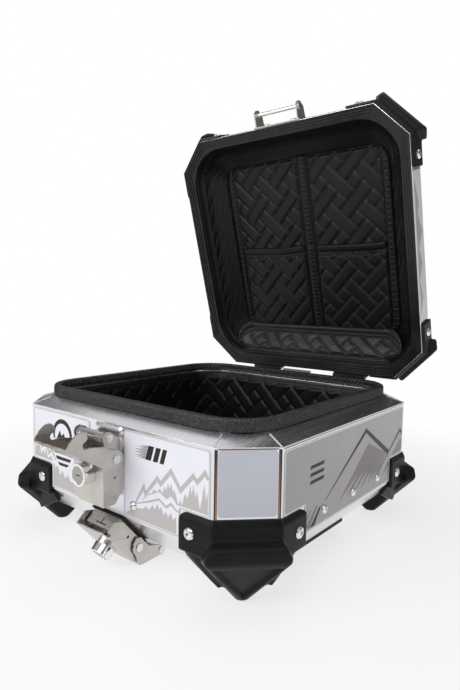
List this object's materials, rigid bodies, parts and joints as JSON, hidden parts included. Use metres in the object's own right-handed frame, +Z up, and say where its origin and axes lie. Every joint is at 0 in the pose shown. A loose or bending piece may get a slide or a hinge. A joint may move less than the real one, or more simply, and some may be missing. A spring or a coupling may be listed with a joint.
{
  "type": "motorcycle top case",
  "caption": "Bevelled aluminium motorcycle top case with hinged quilted lid, corner guards, draw latch with lock, and a locking dock plate underneath.",
  "frame": {"origin": "centre of the dock plate's underside, between its four mounting holes", "axes": "+X to the right seen from the latches, +Y towards the hinges, +Z up"},
  "size_m": [0.4368, 0.5514, 0.5907],
  "materials": {
    "shell_aluminium": "brushed and clear anodised sheet",
    "trim_rubber": "ribbed black edge trim",
    "lining": "quilted black synthetic leather",
    "mat_foam": "black foam mat",
    "moulded_black": "fine grained moulding",
    "frame_black": "satin grooved extrusion",
    "hinge_black": "black powder coat",
    "front_print": "satin printed panel, white with grey peaks",
    "side_print": "satin printed panel, grey with darker peaks",
    "corner_print": "satin grey panel",
    "bright_fasteners": "polished stainless",
    "latch_stainless": "satin stainless pressing",
    "lock_chrome": "bright plated",
    "key_brass": "satin nickel plug"
  },
  "bodies": {
    "tub": {"base_shell": "shell_aluminium", "base_rim_trim": "trim_rubber", "base_liner": "lining", "floor_mat": "mat_foam", "dock_plate": "moulded_black", "dock_screws": "bright_fasteners", "guard_front_left": "moulded_black", "guard_front_right": "moulded_black", "guard_rear_left": "moulded_black", "guard_rear_right": "moulded_black", "guard_screws": "bright_fasteners", "decal_front_left": "front_print", "decal_front_right": "front_print", "decal_left": "side_print", "decal_right": "side_print", "decal_back": "side_print", "decal_corners": "corner_print", "wall_screws": "bright_fasteners", "hinge_base_leaves": "hinge_black", "hinge_pins": "bright_fasteners", "hinge_screws": "bright_fasteners", "lid_stop_plate": "latch_stainless", "latch_bracket": "latch_stainless", "latch_pivot_pin": "bright_fasteners", "dock_latch_bracket": "latch_stainless", "dock_latch_pad": "moulded_black", "dock_latch_pivot_pin": "bright_fasteners"},
    "lid": {"lid_shell": "shell_aluminium", "lid_rim_frame": "frame_black", "lid_rim_corners": "frame_black", "lid_liner": "lining", "lid_panel": "lining", "lid_pockets": "lining", "lid_bolster": "lining", "lid_guard_front_left": "moulded_black", "lid_guard_front_right": "moulded_black", "lid_guard_rear_left": "moulded_black", "lid_guard_rear_right": "moulded_black", "lid_guard_screws": "bright_fasteners", "lid_decals": "side_print", "striker_bracket": "latch_stainless", "striker_rod": "bright_fasteners", "striker_screws": "bright_fasteners", "hinge_lid_leaves": "hinge_black"},
    "latch_handle": {"latch_handle": "latch_stainless", "latch_barrel": "lock_chrome", "latch_link_pin": "bright_fasteners"},
    "latch_hook": {"latch_hook": "latch_stainless"},
    "latch_key": {"latch_key_plug": "key_brass"},
    "dock_handle": {"dock_latch_handle": "latch_stainless", "dock_latch_barrel": "lock_chrome", "dock_latch_link_pin": "bright_fasteners"},
    "dock_hook": {"dock_latch_hook": "latch_stainless", "dock_latch_rod": "bright_fasteners"},
    "dock_key": {"dock_latch_key_plug": "key_brass"}
  },
  "joints": [
    {"name": "lid_hinge", "type": "hinge", "parent": "tub", "child": "lid", "pos_m": [0, 0.223, 0.14], "axis": [1, 0, 0], "range_deg": [0, 73.7]},
    {"name": "latch_handle_lift", "type": "hinge", "parent": "tub", "child": "latch_handle", "pos_m": [0, -0.218, 0.138], "axis": [1, 0, 0], "range_deg": [-60, 0]},
    {"name": "latch_hook_swing", "type": "hinge", "parent": "latch_handle", "child": "latch_hook", "pos_m": [0, -0.21, 0.115], "axis": [-1, 0, 0], "range_deg": [0, 52]},
    {"name": "latch_key_turn", "type": "hinge", "parent": "latch_handle", "child": "latch_key", "pos_m": [0, -0.225, 0.098], "axis": [0, -1, 0], "range_deg": [0, 90]},
    {"name": "dock_handle_lift", "type": "hinge", "parent": "tub", "child": "dock_handle", "pos_m": [0, -0.16591, -0.00467], "axis": [1, 0, 0], "range_deg": [0, 55]},
    {"name": "dock_hook_swing", "type": "hinge", "parent": "dock_handle", "child": "dock_hook", "pos_m": [0, -0.178, 0.006], "axis": [1, 0, 0], "range_deg": [-55, 0]},
    {"name": "dock_key_turn", "type": "hinge", "parent": "dock_handle", "child": "dock_key", "pos_m": [0, -0.2005, 0.00882], "axis": [0, -0.7498, -0.6616], "range_deg": [0, 90]}
  ],
  "couplings": [
    {"joint": "dock_hook_swing", "follows": "dock_handle_lift", "ratio": -1}
  ]
}
